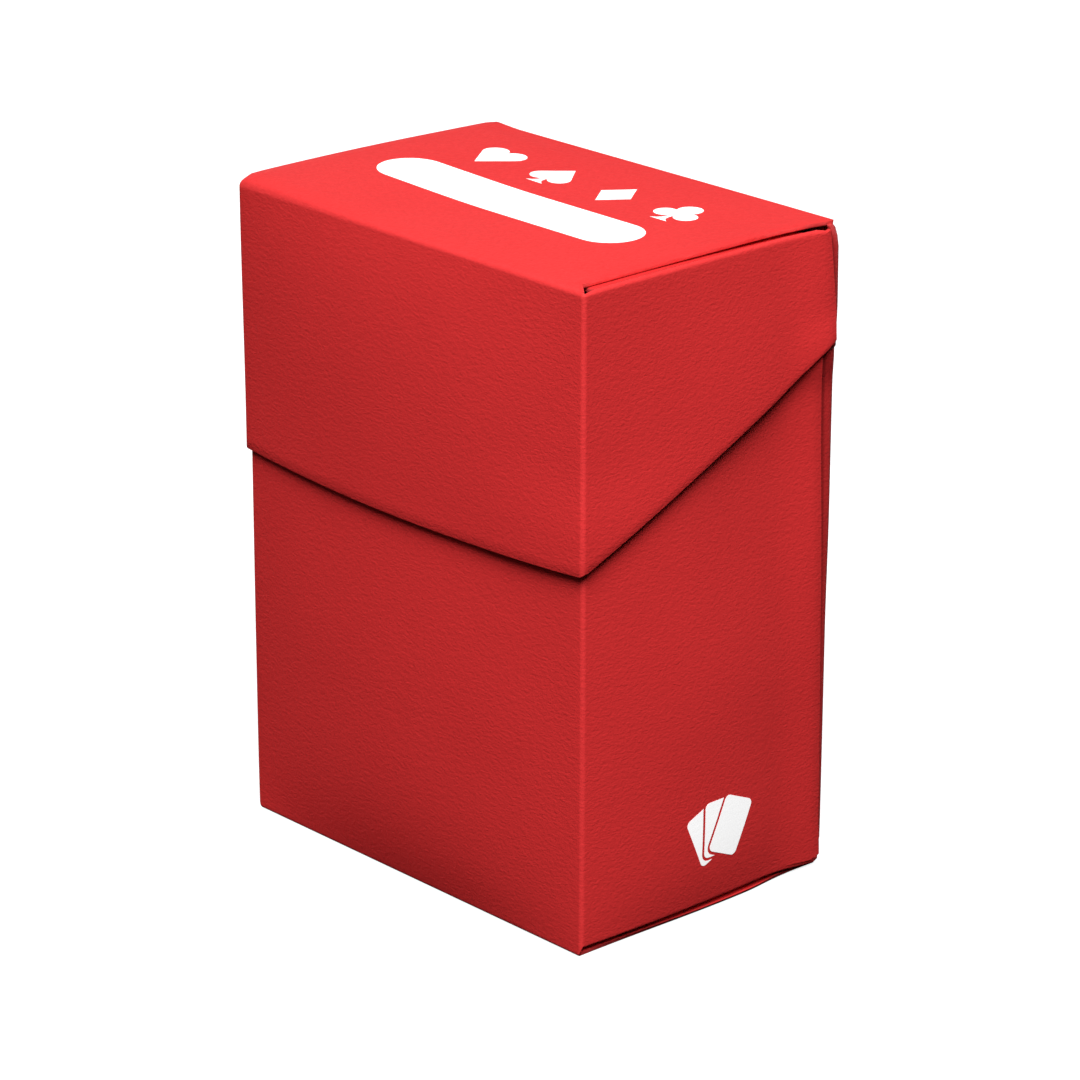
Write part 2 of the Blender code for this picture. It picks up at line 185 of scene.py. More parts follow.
def away_from_hinge(z):
    """0 beside the hinge, where the back stays straight, and 1 a little way off."""
    return between(abs(z - HINGE_Z), 1, 6)


def towards_back(y):
    """0 on the front half, 1 at the rear corners."""
    return between(y, 12, 23)


def back_out(x, y, z):
    """The back stands out a little, most at its right edge, but not at the hinge, which stays straight."""
    return BACK_OUT * mix(0.4, 1.0, between(x, -34, 26)) * towards_back(y) * away_from_hinge(z)


def rear_corner_out(body, z):
    """How far the rear corners stand out sideways."""
    return REAR_CORNER_OUT + HINGE_CORNER_OUT[body] * (1 - away_from_hinge(z))


def walls_out(x, y, front, side, corner):
    """Shift of the front by front, of both side walls by side and of their rear corners by corner more."""
    side += corner * mix(LEFT_SHARE, 1.0, between(x, -10, 10)) * towards_back(y)
    return side * (between(x, 0, 30) - between(x, 0, -30)), -front * between(y, 0, -20)


def slant_z(y):
    """Height of the lid's slanted lower edge."""
    share = (y - SLANT_LOW[0]) / (SLANT_HIGH[0] - SLANT_LOW[0])
    return mix(SLANT_LOW[1], SLANT_HIGH[1], share)


def bend_lid(point):
    """The walls swell from the top panel down to the open edge; the top's left edge lifts."""
    x, y, z = point
    top = TOP_Z - LID_FOLD
    front = LID_FRONT_BOW * arch(x / LID_X) * (1 - share_of_way(z, LID_EDGE_Z, top) ** 4)
    edge = slant_z(min(SLANT_HIGH[0], max(SLANT_LOW[0], y)))
    reach = BACK_Y + 5 if y < LID_SIDE_WIDEST_Y else BACK_Y - 4
    side = LID_SIDE_BOW * arch((y - LID_SIDE_WIDEST_Y) / reach) * (1 - share_of_way(z, edge, top) ** 1.3)
    dx, dy = walls_out(x, y, front, side, rear_corner_out("lid", z))
    dx += LID_LEFT_TAPER * between(x, 0, -30) * between(z, top, top - 35)
    flare = LID_CORNER_FLARE * between(z, 72, 60)
    dx += flare * between(x, 20, 34) * between(y, 5, -20)
    dy -= flare * between(x, 8, 30) * between(y, 0, -20)
    rise = 1 - math.exp(-max(0.0, y - LID_Y) / 0.7)
    rise *= TOP_LIFT - TOP_LIFT_CURVE * (y - TOP_LIFT_Y) ** 2
    rise *= mix(1.0, between(x, -29, -35), between(y, 18, 24))
    dz = rise * between(z, 88, 95) * mix(0.3, 1.0, between(x, 0, -34))
    return Vector((x + dx, y + dy + back_out(x, y, z), z + dz))


def swell(z, height):
    """0 at the floor, rising fast and then levelling out to 1 at height."""
    return 1 - (1 - share_of_way(z, 0, height)) ** 3


def bend_body(point):
    """The walls swell above the floor and draw in a little under the lid."""
    x, y, z = point
    front = BODY_FRONT_BOW * arch(x / BODY_X) * swell(z, 24)
    front *= 1 - BODY_FRONT_DRAWN_IN * between(z, 28, 60)
    side = BODY_SIDE_BOW * arch(y / BACK_Y) * mix(BODY_SIDE_FOOT * between(z, 0.3, 0.9), 1.0, swell(z, 18))
    side *= 1 - mix(*BODY_SIDE_DRAWN_IN, between(y, -6, 10)) * between(z, 28, 68)
    corner = rear_corner_out("body", z) + BODY_TOP_CORNER_OUT * between(z, 35, 55)
    dx, dy = walls_out(x, y, front, side, corner)
    return Vector((x + dx, y + dy + back_out(x, y, z), z))


BENDS = {"lid": bend_lid, "body": bend_body}

# ---------------------------------------------------------------- materials

RED_TONES = (0.765, 0.0350, 0.0360), (0.785, 0.0365, 0.0375)    # of the mottling
# Painted shade in the hollows of the grain
RED_PAINTED_GRAIN_SHADE = (0.42, 0.014, 0.015)
# Paler folds: the sheet's stress whitening and a painted highlight along the creases
RED_STRESSED_AND_HIGHLIGHT = (0.92, 0.060, 0.062)
RED_WORN = (0.92, 0.14, 0.14)
RED_PAINTED_SEAM_SHADE = (0.16, 0.008, 0.009)
GRAIN_DEPTH = 0.115
INK_TONES = (0.93, 0.925, 0.925), (0.90, 0.72, 0.73)            # opaque and thin
# Painted light: the ink glows so that it stays bright where the sheet around it is in shade
INK_PAINTED_GLOW = 0.4
FROSTED_TONES = (0.74, 0.76, 0.78), (0.82, 0.83, 0.84)
FROSTED_CUT = (0.93, 0.94, 0.95)
FLOOR_TONES = (0.42, 0.42, 0.42), (0.44, 0.44, 0.44)


class Nodes:
    """Adds and links shader nodes with few words."""

    def __init__(self, name):
        self.material = bpy.data.materials.new(name)
        self.material.use_nodes = True
        self.tree = self.material.node_tree
        self.shader = self.tree.nodes["Principled BSDF"]
        self.place = self.add("ShaderNodeTexCoord").outputs["Object"]

    def add(self, kind, **settings):
        node = self.tree.nodes.new(kind)
        for key, value in settings.items():
            setattr(node, key, value)
        return node

    def set(self, socket, value):
        if isinstance(value, bpy.types.NodeSocket):
            self.tree.links.new(value, socket)
        else:
            socket.default_value = value

    def noise(self, size, detail=2.0, distortion=0.0, squash=1.0):
        """Noise whose features are about size millimetres wide, and squash times less high."""
        node = self.add("ShaderNodeTexNoise")
        place = self.add("ShaderNodeVectorMath", operation="MULTIPLY")
        self.set(place.inputs[0], self.place)
        place.inputs[1].default_value = (1.0, 1.0, squash)
        self.set(node.inputs["Vector"], place.outputs["Vector"])
        node.inputs["Scale"].default_value = 1 / (size * MM)
        node.inputs["Detail"].default_value = detail
        node.inputs["Distortion"].default_value = distortion
        return node.outputs["Fac"]

    def maths(self, operation, a, b):
        node = self.add("ShaderNodeMath", operation=operation)
        self.set(node.inputs[0], a)
        self.set(node.inputs[1], b)
        return node.outputs[0]

    def rescale(self, value, start, end, to_low, to_high):
        """value from start to end becomes to_low to to_high."""
        node = self.add("ShaderNodeMapRange")
        for name, given in (("Value", value), ("From Min", start), ("From Max", end)):
            self.set(node.inputs[name], given)
        node.inputs["To Min"].default_value = to_low
        node.inputs["To Max"].default_value = to_high
        return node.outputs["Result"]

    def blend(self, factor, a, b):
        node = self.add("ShaderNodeMix", data_type="RGBA")
        self.set(node.inputs["Factor"], factor)
        self.set(node.inputs["A"], (*a, 1.0) if isinstance(a, tuple) else a)
        self.set(node.inputs["B"], (*b, 1.0) if isinstance(b, tuple) else b)
        return node.outputs["Result"]

    def attribute(self, name):
        return self.add("ShaderNodeAttribute", attribute_name=name).outputs["Fac"]

    def bump(self, height, depth, strength):
        """depth is how many millimetres the height's 0 to 1 stands for."""
        node = self.add("ShaderNodeBump")
        self.set(node.inputs["Height"], height)
        node.inputs["Distance"].default_value = depth * MM
        node.inputs["Strength"].default_value = strength
        return node.outputs["Normal"]


def red_sheet():
    """Embossed polypropylene: fine grain with painted shade in its hollows, faint mottling,
    folds paler from stress whitening and a painted highlight, paler cut edges, painted shade at the seams.
    """
    n = Nodes("red_sheet_grained")
    wrinkles = n.noise(0.78, detail=2.0, distortion=0.6, squash=2.0)
    pores = n.noise(0.42, detail=2.0)
    grain = n.maths("ADD", n.maths("MULTIPLY", wrinkles, 0.68), n.maths("MULTIPLY", pores, 0.32))
    mottle = n.noise(16.0, detail=3.0)
    fold, cut = n.attribute("fold"), n.attribute("cut")
    mottling = n.rescale(mottle, 0.35, 0.65, 0.0, 1.0)
    colour = n.blend(mottling, *RED_TONES)
    # Painted shade: darker colour in the hollows of the grain.
    colour = n.blend(n.rescale(grain, 0.3, 0.65, 0.16, 0.0), colour, RED_PAINTED_GRAIN_SHADE)
    # Paler folds: partly the sheet's stress whitening, partly a painted highlight along the creases.
    stress_and_highlight = n.maths("MULTIPLY", fold, n.rescale(n.noise(0.9), 0.3, 0.7, 0.10, 0.28))
    colour = n.blend(stress_and_highlight, colour, RED_STRESSED_AND_HIGHLIGHT)
    worn = n.maths("MULTIPLY", cut, n.rescale(n.noise(2.5), 0.3, 0.7, 0.10, 0.40))
    colour = n.blend(worn, colour, RED_WORN)
    # Painted shade: the glue flaps are darkened where they come out from under the side walls' back edges.
    colour = n.blend(n.attribute("shade"), colour, RED_PAINTED_SEAM_SHADE)
    n.set(n.shader.inputs["Base Color"], colour)
    n.set(n.shader.inputs["Roughness"], n.rescale(grain, 0.2, 0.8, 0.66, 0.56))
    n.shader.inputs["Specular IOR Level"].default_value = 0.14
    n.set(n.shader.inputs["Normal"], n.bump(grain, GRAIN_DEPTH, 0.9))
    return n.material


def white_ink():
    """Opaque screen-printed ink that takes on the sheet's grain, with a trace of the red in it, and a
    painted glow.
    """
    n = Nodes("white_ink_printed")
    wrinkles = n.noise(1.5, detail=2.0, distortion=0.9, squash=2.7)
    thin = n.rescale(n.noise(3.0, detail=3.0), 0.3, 0.75, 0.0, 0.05)
    n.set(n.shader.inputs["Base Color"], n.blend(thin, *INK_TONES))
    n.set(n.shader.inputs["Roughness"], n.rescale(n.noise(0.5), 0.3, 0.7, 0.42, 0.52))
    n.shader.inputs["Specular IOR Level"].default_value = 0.4
    n.set(n.shader.inputs["Normal"], n.bump(wrinkles, 0.05, 0.3))
    # Painted light: the ink glows a little, so it stays white where the sheet around it is shaded.
    n.shader.inputs["Emission Color"].default_value = (1, 1, 1, 1)
    n.shader.inputs["Emission Strength"].default_value = INK_PAINTED_GLOW
    return n.material


def divider_sheet():
    """Frosted translucent sheet."""
    n = Nodes("divider_frosted")
    haze = n.noise(14.0, detail=4.0)
    colour = n.blend(n.rescale(haze, 0.35, 0.65, 0.0, 1.0), *FROSTED_TONES)
    colour = n.blend(n.maths("MULTIPLY", n.attribute("cut"), 0.6), colour, FROSTED_CUT)
    n.set(n.shader.inputs["Base Color"], colour)
    n.set(n.shader.inputs["Roughness"], n.rescale(n.noise(0.25), 0.3, 0.7, 0.42, 0.58))
    n.shader.inputs["Transmission Weight"].default_value = 0.25
    n.shader.inputs["IOR"].default_value = 1.49
    n.set(n.shader.inputs["Normal"], n.bump(n.noise(0.25), 0.02, 0.3))
    return n.material


RED = red_sheet()
WHITE = white_ink()
FROSTED = divider_sheet()

# ---------------------------------------------------------------- sheets


def line(start, end):
    """Stretch of a path: length, and point and outward normal at a distance along it."""
    run = Vector(end) - Vector(start)
    length = run.length
    normal = Vector((run.y, -run.x)) / length
    return length, lambda s: (Vector(start) + run * (s / length), normal), 0.0


def arc(centre, radius, start, end):
    """Stretch of a path round a fold, from start to end degrees, anticlockwise."""
    length = radius * math.radians(end - start)

    def at(s):
        angle = math.radians(start) + s / radius
        normal = Vector((math.cos(angle), math.sin(angle)))
        return Vector(centre) + normal * radius, normal

    return length, at, 1.0


def spaced(length, step, roll_start, roll_end):
    """Distances from 0 to length, close together beside an end that is rolled."""
    first = [0.0, 0.3 * ROLL] if roll_start else []
    last = [length - 0.3 * ROLL, length] if roll_end else []
    start, end = ROLL if roll_start else 0.0, length - ROLL if roll_end else length
    count = max(1, math.ceil((end - start) / step))
    return first + [mix(start, end, i / count) for i in range(count + 1)] + last


def stations(path, roll_start, roll_end):
    """Along the path: (distance, point, normal, share of a fold)."""
    found, passed = [], 0.0
    for i, (length, at, fold) in enumerate(path):
        step = length / FOLD_LINES + 1e-6 if fold else SPACING
        rolls = roll_start and i == 0, roll_end and i == len(path) - 1
        for s in spaced(length, step, *rolls):
            if found and passed + s < found[-1][0] + 1e-5:
                continue
            whole = fold * math.sin(math.pi * s / length) ** 0.5 if fold and 0 < s < length else 0.0
            found.append((passed + s, *at(s), whole))
        passed += length
    return found


def along(axis, a, b, c):
    """The point whose coordinate on axis is c, with a and b on the two axes that follow it."""
    return Vector({"X": (c, a, b), "Y": (b, c, a), "Z": (a, b, c)}[axis])


def rolled(distance):
    """How far a surface falls back that near a cut edge."""
    inside = max(0.0, ROLL - distance)
    return ROLL - math.sqrt(max(0.0, ROLL ** 2 - inside ** 2))


def rolled_corner(distance, radius):
    """How far a cut edge draws back from its line within radius of a rounded corner."""
    inside = max(0.0, radius - distance)
    return radius - math.sqrt(max(0.0, radius ** 2 - inside ** 2))


def new_piece(name, body, node, material, vertices, faces, marks):
    """A piece that rides on body and stands for node, a node of the frame, where they are named."""
    mesh = bpy.data.meshes.new(name)
    mesh.from_pydata([tuple(v * MM) for v in vertices], [], faces)
    for label, values in marks.items():
        mesh.attributes.new(label, "FLOAT", "POINT").data.foreach_set("value", values)
    mesh.shade_smooth()
    mesh.set_sharp_from_angle(angle=math.radians(SHARP_ANGLE))
    mesh.materials.append(material)
    piece = bpy.data.objects.new(name, mesh)
    bpy.context.scene.collection.objects.link(piece)
    if body:
        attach(piece, body)
    if node:
        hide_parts(node)
    return piece


def sheet_from_grid(name, body, node, columns, side=1, warp=None, shade=None):
    """Closed red sheet from columns of (outer point, inner point, cut mark, fold mark).

    The points are warped, mirrored for the left side, and bent with their body, if one is named.
    """
    shift = BENDS[body] if body else None
    wide, tall = len(columns), len(columns[0])
    vertices, marks = [], {"cut": [], "fold": [], "shade": []}
    for layer in (0, 1):
        for column in columns:
            for entry in column:
                point = entry[layer].copy()
                if warp:
                    point = warp(point)
                point.x *= side
                marks["shade"].append(shade(point) if shade else 0.0)
                vertices.append(shift(point) if shift else point)
                marks["cut"].append(entry[2])
                marks["fold"].append(entry[3])
    inner = wide * tall
    index = [[i * tall + j for j in range(tall)] for i in range(wide)]
    faces = []
    for i in range(wide - 1):
        for j in range(tall - 1):
            a, b, c, d = index[i][j], index[i + 1][j], index[i + 1][j + 1], index[i][j + 1]
            faces.append((a, b, c, d))
            faces.append((d + inner, c + inner, b + inner, a + inner))
    rim = [index[i][0] for i in range(wide)] + [index[-1][j] for j in range(1, tall)]
    rim += [index[i][-1] for i in range(wide - 2, -1, -1)] + [index[0][j] for j in range(tall - 2, 0, -1)]
    for a, b in zip(rim, rim[1:] + rim[:1]):
        faces.append((b, a, a + inner, b + inner))
    if side < 0:
        faces = [face[::-1] for face in faces]
    return new_piece(name, body, node, RED, vertices, faces, marks)


def constant(value):
    return lambda s, point: value


def sheet_piece(name, body, node, path, axis, low_edge, high_edge, cuts, side=1, warp=None,
                held=None, shade=None):
    """A sheet whose outer face follows path and runs along axis between its two cut edges.

    cuts names the free ends among start, end, low and high; the others are seams.
    held(s, point) is the share of rounding that the low and high edges keep at that place, and
    shade(point) is how much the painted shade of a seam darkens the sheet there.
    """
    steps = stations(path, "start" in cuts, "end" in cuts)
    total = steps[-1][0]
    edges = [(low_edge(s, p), high_edge(s, p)) for s, p, _, _ in steps]
    longest = max(b - a for a, b in edges)
    rows = spaced(longest, SPACING, "low" in cuts, "high" in cuts)
    columns = []
    for (s, point, normal, fold), (first, last) in zip(steps, edges):
        keep = held(s, point) if held else 1.0
        column = []
        for row in rows:
            if row <= ROLL:
                c = first + row
            elif row >= longest - ROLL:
                c = last - (longest - row)
            else:
                c = mix(first + ROLL, last - ROLL, (row - ROLL) / (longest - 2 * ROLL))
            ends = (("start", s, 1.0), ("end", total - s, 1.0), ("low", c - first, keep),
                    ("high", last - c, keep))
            fall = max((rolled(away) * share for end, away, share in ends if end in cuts), default=0.0)
            outer = point - normal * fall
            inner = point - normal * (SHEET - fall)
            column.append((along(axis, *outer, c), along(axis, *inner, c), fall / ROLL, fold))
        columns.append(column)
    return sheet_from_grid(name, body, node, columns, side, warp, shade)


def wall_path(x, y, fold):
    """Across the front from the left corner fold to the right one, as seen from above."""
    end_y = y + fold + LEAD
    return [
        line((-x, end_y), (-x, y + fold)),
        arc((-x + fold, y + fold), fold, 180, 270),
        line((-x + fold, y), (x - fold, y)),
        arc((x - fold, y + fold), fold, 270, 360),
        line((x, y + fold), (x, end_y)),
    ]


def corner_turn(x, y, flat_x, wall_y, fold):
    """0 on the front, 1 on the side wall, and the share of the turn on the corner fold between them."""
    if abs(x) <= flat_x:
        return 0.0
    return math.atan2(abs(x) - flat_x, max(1e-9, wall_y + fold - y)) / (math.pi / 2)


def corner_piece(name, body, x, y, fold, front_z, side_z, up, side):
    """The rounded three-way corner where a corner fold meets two level folds; its tip is cut away."""
    centre = Vector((x - fold, y + fold))
    columns = []
    for i in range(FOLD_LINES + 1):
        turn = i / FOLD_LINES
        angle = math.radians(90 * turn)
        out = Vector((math.sin(angle), -math.cos(angle)))
        middle_z = mix(front_z, side_z, ease(turn))
        levels = [-LEAD / fold, 0.0] + [CORNER_REACH * k / FOLD_LINES for k in range(1, FOLD_LINES + 1)]
        column = []
        for tilt in levels:
            rise = fold * (math.sin(tilt) if tilt > 0 else tilt)
            away = fold * (math.cos(tilt) if tilt > 0 else 1.0)
            lean = max(0.0, tilt)
            normal = Vector((out.x * math.cos(lean), out.y * math.cos(lean), up * math.sin(lean)))
            outer = Vector((centre.x + out.x * away, centre.y + out.y * away, middle_z + up * rise))
            edge = between(tilt, CORNER_REACH - CORNER_EDGE, CORNER_REACH)
            outer -= normal * ROLL * 0.5 * edge
            inner = outer - normal * (SHEET - ROLL * edge)
            column.append((outer, inner, edge, 1.0))
        columns.append(column if up > 0 else column[::-1])
    return sheet_from_grid(name, body, None, columns, side)


SIDES = (("right", 1), ("left", -1))
LID_TOP_CENTRE_Z = TOP_Z - LID_FOLD
LID_FLAP_CENTRE_Z = LID_FLAP_Z - LID_FOLD
FLOOR_CENTRE_Z = BODY_FOLD
FLOOR_FLAP_CENTRE_Z = FLOOR_FLAP_Z + BODY_FOLD


def stand_off(point, side, share=1.0):
    """The right side walls' back edges stand off from the glue flaps behind them."""
    out = share * SIDE_STAND_OFF * between(point.y, 14, 22) if side > 0 else 0.0
    return point + Vector((out, 0, 0))


def lid_side_lean(z):
    """How far forward the back edge of the lid's side wall is at that height."""
    rise = max(0.0, z - SLANT_HIGH[1])
    return LID_SIDE_BACK_LEAN * rise / (LID_FLAP_CENTRE_Z - LEAD - SLANT_HIGH[1])


def body_side_lean(z):
    """How far forward the back edge of the body's side wall is at that height."""
    above_floor, per_millimetre = BODY_SIDE_BACK_LEAN
    return above_floor * between(z, 2, 8) + per_millimetre * z


# ---------------------------------------------------------------- lid


def lid_front():
    flat_x = LID_X - LID_FOLD

    def lower(s, p):
        if abs(p.x) <= flat_x:
            return mix(LID_EDGE_Z, LID_EDGE_DIP_Z, arch(p.x / flat_x))
        return mix(LID_EDGE_Z, SLANT_LOW[1], corner_turn(*p, flat_x, LID_Y, LID_FOLD))

    def upper(s, p):
        turn = ease(corner_turn(*p, flat_x, LID_Y, LID_FOLD))
        return mix(LID_TOP_CENTRE_Z, LID_FLAP_CENTRE_Z, turn) - LEAD

    path = wall_path(LID_X, LID_Y, LID_FOLD)
    sheet_piece("lid_front_sheet", "lid", "lid_front_panel", path, "Z", lower, upper, {"low"})


def lid_side(label, side):
    """The back edge leans forward as it rises; behind the top flap the wall runs on up as a small tab."""
    seam_z = LID_FLAP_CENTRE_Z - LEAD
    tab_rise = LID_FLAP_Z - TAB_DROP - seam_z

    def lower(s, p):
        rise = SLANT_REAR_RISE * between(p.y, 11, 22)
        return slant_z(p.y) + rise + rolled_corner(SLANT_HIGH[0] - p.y, 0.5)

    def upper(s, p):
        return seam_z + tab_rise * between(p.y, TAB_Y, TAB_Y + 0.25)

    def lean(point):
        forward = lid_side_lean(point.z) * between(point.y, 8, SLANT_HIGH[0])
        return stand_off(point - Vector((0, forward, 0)), side)

    path = [line((LID_X, SLANT_LOW[0]), (LID_X, SLANT_HIGH[0]))]
    sheet_piece(f"lid_{label}_side_sheet", "lid", f"lid_{label}_side_panel", path, "Z", lower, upper,
                {"low", "end"}, side, lean)


def lid_top_flap(label, side):
    """Folded in from the side wall under the top; the right one sags under the slit towards the back."""
    centre = (LID_FLAP_CENTRE_Z, LID_X - LID_FOLD)
    seam_y = LID_Y + LID_FOLD
    path = [
        line((LID_FLAP_Z, TOP_FLAP_FREE_X), (LID_FLAP_Z, centre[1])),
        arc(centre, LID_FOLD, 0, 90),
        line((centre[0], LID_X), (centre[0] - LEAD, LID_X)),
    ]
    flat_length, fold_length = path[0][0], path[1][0]
    tuck, tuck_length = TOP_FLAP_TUCK[label]

    def past(s):
        """0 where the fold starts, 1 where it ends."""
        return (s - flat_length) / fold_length

    def chamfer(p):
        return max(0.0, TOP_FLAP_FREE_X + FLAP_CHAMFER - p.y)

    def front(s, p):
        return mix(seam_y + TOP_FLAP_FRONT_CUT, seam_y, between(past(s), 0.12, 0.32)) + chamfer(p)

    def back(s, p):
        return mix(*TOP_FLAP_BACK_Y, between(past(s), 0, 0.6)) - chamfer(p)

    def drop(point):
        point = stand_off(point, side)
        inward = max(0.0, LID_X - LID_FOLD * 0.7 - point.x)
        down = tuck * (1 - math.exp(-inward / tuck_length))
        if side > 0:
            down += RIGHT_FLAP_SAG * between(point.y, -14, 20) * (1 - math.exp(-inward / 1.5))
        return point - Vector((0, 0, down))

    def held(s, p):
        return 1 - between(past(s), 0.25, 0.35)

    node = f"lid_{label}_top_flap"
    sheet_piece(f"{node}_sheet", "lid", node, path, "Y", front, back, {"start", "low", "high"}, side,
                drop, held)


def lid_top():
    """Front fold, flat and back fold; it stops short of the right wall and leaves a slit there."""
    front_centre = (LID_Y + LID_FOLD, LID_TOP_CENTRE_Z)
    back_centre = (BACK_Y - BACK_FOLD, TOP_Z - BACK_FOLD)
    path = [
        line((BACK_Y, back_centre[1] - LEAD), (BACK_Y, back_centre[1])),
        arc(back_centre, BACK_FOLD, 0, 90),
        line((back_centre[0], TOP_Z), (front_centre[0], TOP_Z)),
        arc(front_centre, LID_FOLD, 90, 180),
        line((LID_Y, front_centre[1]), (LID_Y, front_centre[1] - LEAD)),
    ]
    total = sum(stretch[0] for stretch in path)
    joined = LEAD + LID_FOLD * CORNER_REACH

    def edge(ends, rear_stretch, corner):
        def at(s, p):
            x = mix(*ends, share_of_way(p.x, LID_Y, BACK_Y))
            x += rear_stretch * between(p.x, 20.5, 23) - rolled_corner(BACK_Y - p.x, corner)
            return mix(LID_X - LID_FOLD, x, between(total - s, joined + 0.3, joined + 1.3))
        return at

    right = edge(TOP_RIGHT_X, rear_stretch=0.45, corner=1.3)
    left = edge(TOP_LEFT_X, rear_stretch=0.0, corner=2.2)

    def held(s, p):
        return between(total - s, joined, joined + 0.3)

    sheet_piece("lid_top_sheet", "lid", "lid_top_panel", path, "X", lambda s, p: -left(s, p), right,
                {"low", "high"}, held=held)


SEAM_SHADE = (0.65, 0.28)   # painted shade of a glue flap where it comes out from under the side wall, and further on
SEAM_SHADE_PAST = 1.4       # how far past the side wall's edge the painted shade falls off
SEAM_SHADE_FALL = 0.4


def glue_flap_path(x, free_y, fold):
    """The flat has close lines beside the fold, for the shade."""
    places = [free_y] + [BACK_Y - fold - 0.3 * k for k in range(10, -1, -1)]
    return [line((x, a), (x, b)) for a, b in zip(places, places[1:])] + [
        arc((x - fold, BACK_Y - fold), fold, 0, 90),
        line((x - fold, BACK_Y), (x - fold - LEAD, BACK_Y)),
    ]


def glue_flap(body, label, side, x, free_y, back_low, back_high):
    """Its fold runs a little past the back's ends, back_low and back_high, and its free part less far.

    The fold draws in to a rounded corner at the top of the lid and at the bottom of the body.
    """
    node = f"{body}_{label}_glue_flap"
    low_z, high_z = low(node).z, high(node).z
    below, above = GLUE_REACH[body]
    fold_y = BACK_Y - GLUE_FOLD

    def at_fold(p):
        return between(p.y, fold_y - 1.2, fold_y)

    def beyond(p):
        return between(p.x, x - 1.3, x - 0.7)

    def chamfer(p):
        return max(0.0, free_y + FLAP_CHAMFER - p.y)

    def lower(s, p):
        return mix(low_z + chamfer(p), back_low - below * beyond(p), at_fold(p))

    def upper(s, p):
        return mix(high_z - chamfer(p), back_high + above * beyond(p), at_fold(p))

    # Painted shade beside the side wall's back edge, standing in for the shadow in the seam.
    def painted_seam_shade(point):
        if body == "lid":
            edge_y = SLANT_HIGH[0] - lid_side_lean(point.z)
        else:
            edge_y = BODY_SIDE_BACK_Y - body_side_lean(point.z)
        end_y = edge_y + SEAM_SHADE_PAST
        return mix(*SEAM_SHADE, between(point.y, end_y - SEAM_SHADE_FALL, end_y))

    def round_off(point):
        to_end = TOP_Z - point.z if body == "lid" else point.z
        folded = between(point.y, fold_y - 1.2, BACK_Y - 1.2)
        folded *= between(point.x, x - GLUE_FOLD - LEAD, x - LEAD)
        pull = GLUE_CORNER_PULL * folded * rolled_corner(to_end, GLUE_CORNER)
        return point - Vector((pull, pull, 0))

    sheet_piece(f"{node}_sheet", body, node, glue_flap_path(x, free_y, GLUE_FOLD), "Z", lower, upper,
                {"start", "low", "high"}, side, round_off, shade=painted_seam_shade)


LID_BACK = (WEB_HIGH_Z, TOP_Z - BACK_FOLD - LEAD)
BODY_BACK = (BACK_FOLD + LEAD, WEB_LOW_Z)


def back_sheet(body, half, low_z, high_z):
    path = [line((half, BACK_Y), (-half, BACK_Y))]
    sheet_piece(f"{body}_back_sheet", body, f"{body}_back_panel", path, "Z", constant(low_z),
                constant(high_z), set())


def lid():
    lid_front()
    lid_top()
    for label, side in SIDES:
        lid_side(label, side)
        lid_top_flap(label, side)
        glue_flap("lid", label, side, LID_GLUE_X, LID_GLUE_FREE_Y, *LID_BACK)
        corner_piece(f"lid_{label}_corner_sheet", "lid", LID_X, LID_Y, LID_FOLD, LID_TOP_CENTRE_Z,
                     LID_FLAP_CENTRE_Z, 1, side)
    back_sheet("lid", LID_GLUE_X - GLUE_FOLD - LEAD, *LID_BACK)


# ---------------------------------------------------------------- body


def lift_side(point):
    """The side wall's lower fold rises towards the front and drops at its rear end."""
    outward = abs(point.x)
    share = between(point.z, 8, 2) * between(point.y, 24, 10) * between(outward, 26, 33)
    rear = between(point.z, 2.5, 1) * between(point.y, 14, 22) * between(outward, 34.2, 34.7)
    return point + Vector((0, 0, SIDE_LIFT * (share - SIDE_REAR_DROP * rear)))


def body_front():
    flat_x = BODY_X - BODY_FOLD

    def lower(s, p):
        turn = ease(corner_turn(*p, flat_x, BODY_Y, BODY_FOLD))
        return mix(FLOOR_CENTRE_Z, FLOOR_FLAP_CENTRE_Z + SIDE_LIFT, turn) + LEAD

    path = wall_path(BODY_X, BODY_Y, BODY_FOLD)
    sheet_piece("body_front_sheet", "body", "body_front_panel", path, "Z", lower, constant(MOUTH_Z),
                {"high"})


def body_side(label, side):
    """The back edge leans forward as it rises, and a strip of the glue flap shows behind it."""
    front_y = BODY_Y + BODY_FOLD + LEAD
    low_z = FLOOR_FLAP_CENTRE_Z + LEAD

    def lower(s, p):
        return low_z + rolled_corner(BODY_SIDE_BACK_Y - p.y, 0.7)

    def lean(point):
        forward = body_side_lean(point.z) * between(point.y, 8, BODY_SIDE_BACK_Y)
        share = mix(1.0, BODY_TOP_STAND_OFF, between(point.z, 40, 70))
        return lift_side(stand_off(point - Vector((0, forward, 0)), side, share))

    path = [line((BODY_X, front_y), (BODY_X, BODY_SIDE_BACK_Y))]
    sheet_piece(f"body_{label}_side_sheet", "body", f"body_{label}_side_panel", path, "Z", lower,
                constant(MOUTH_Z), {"high", "end"}, side, lean)


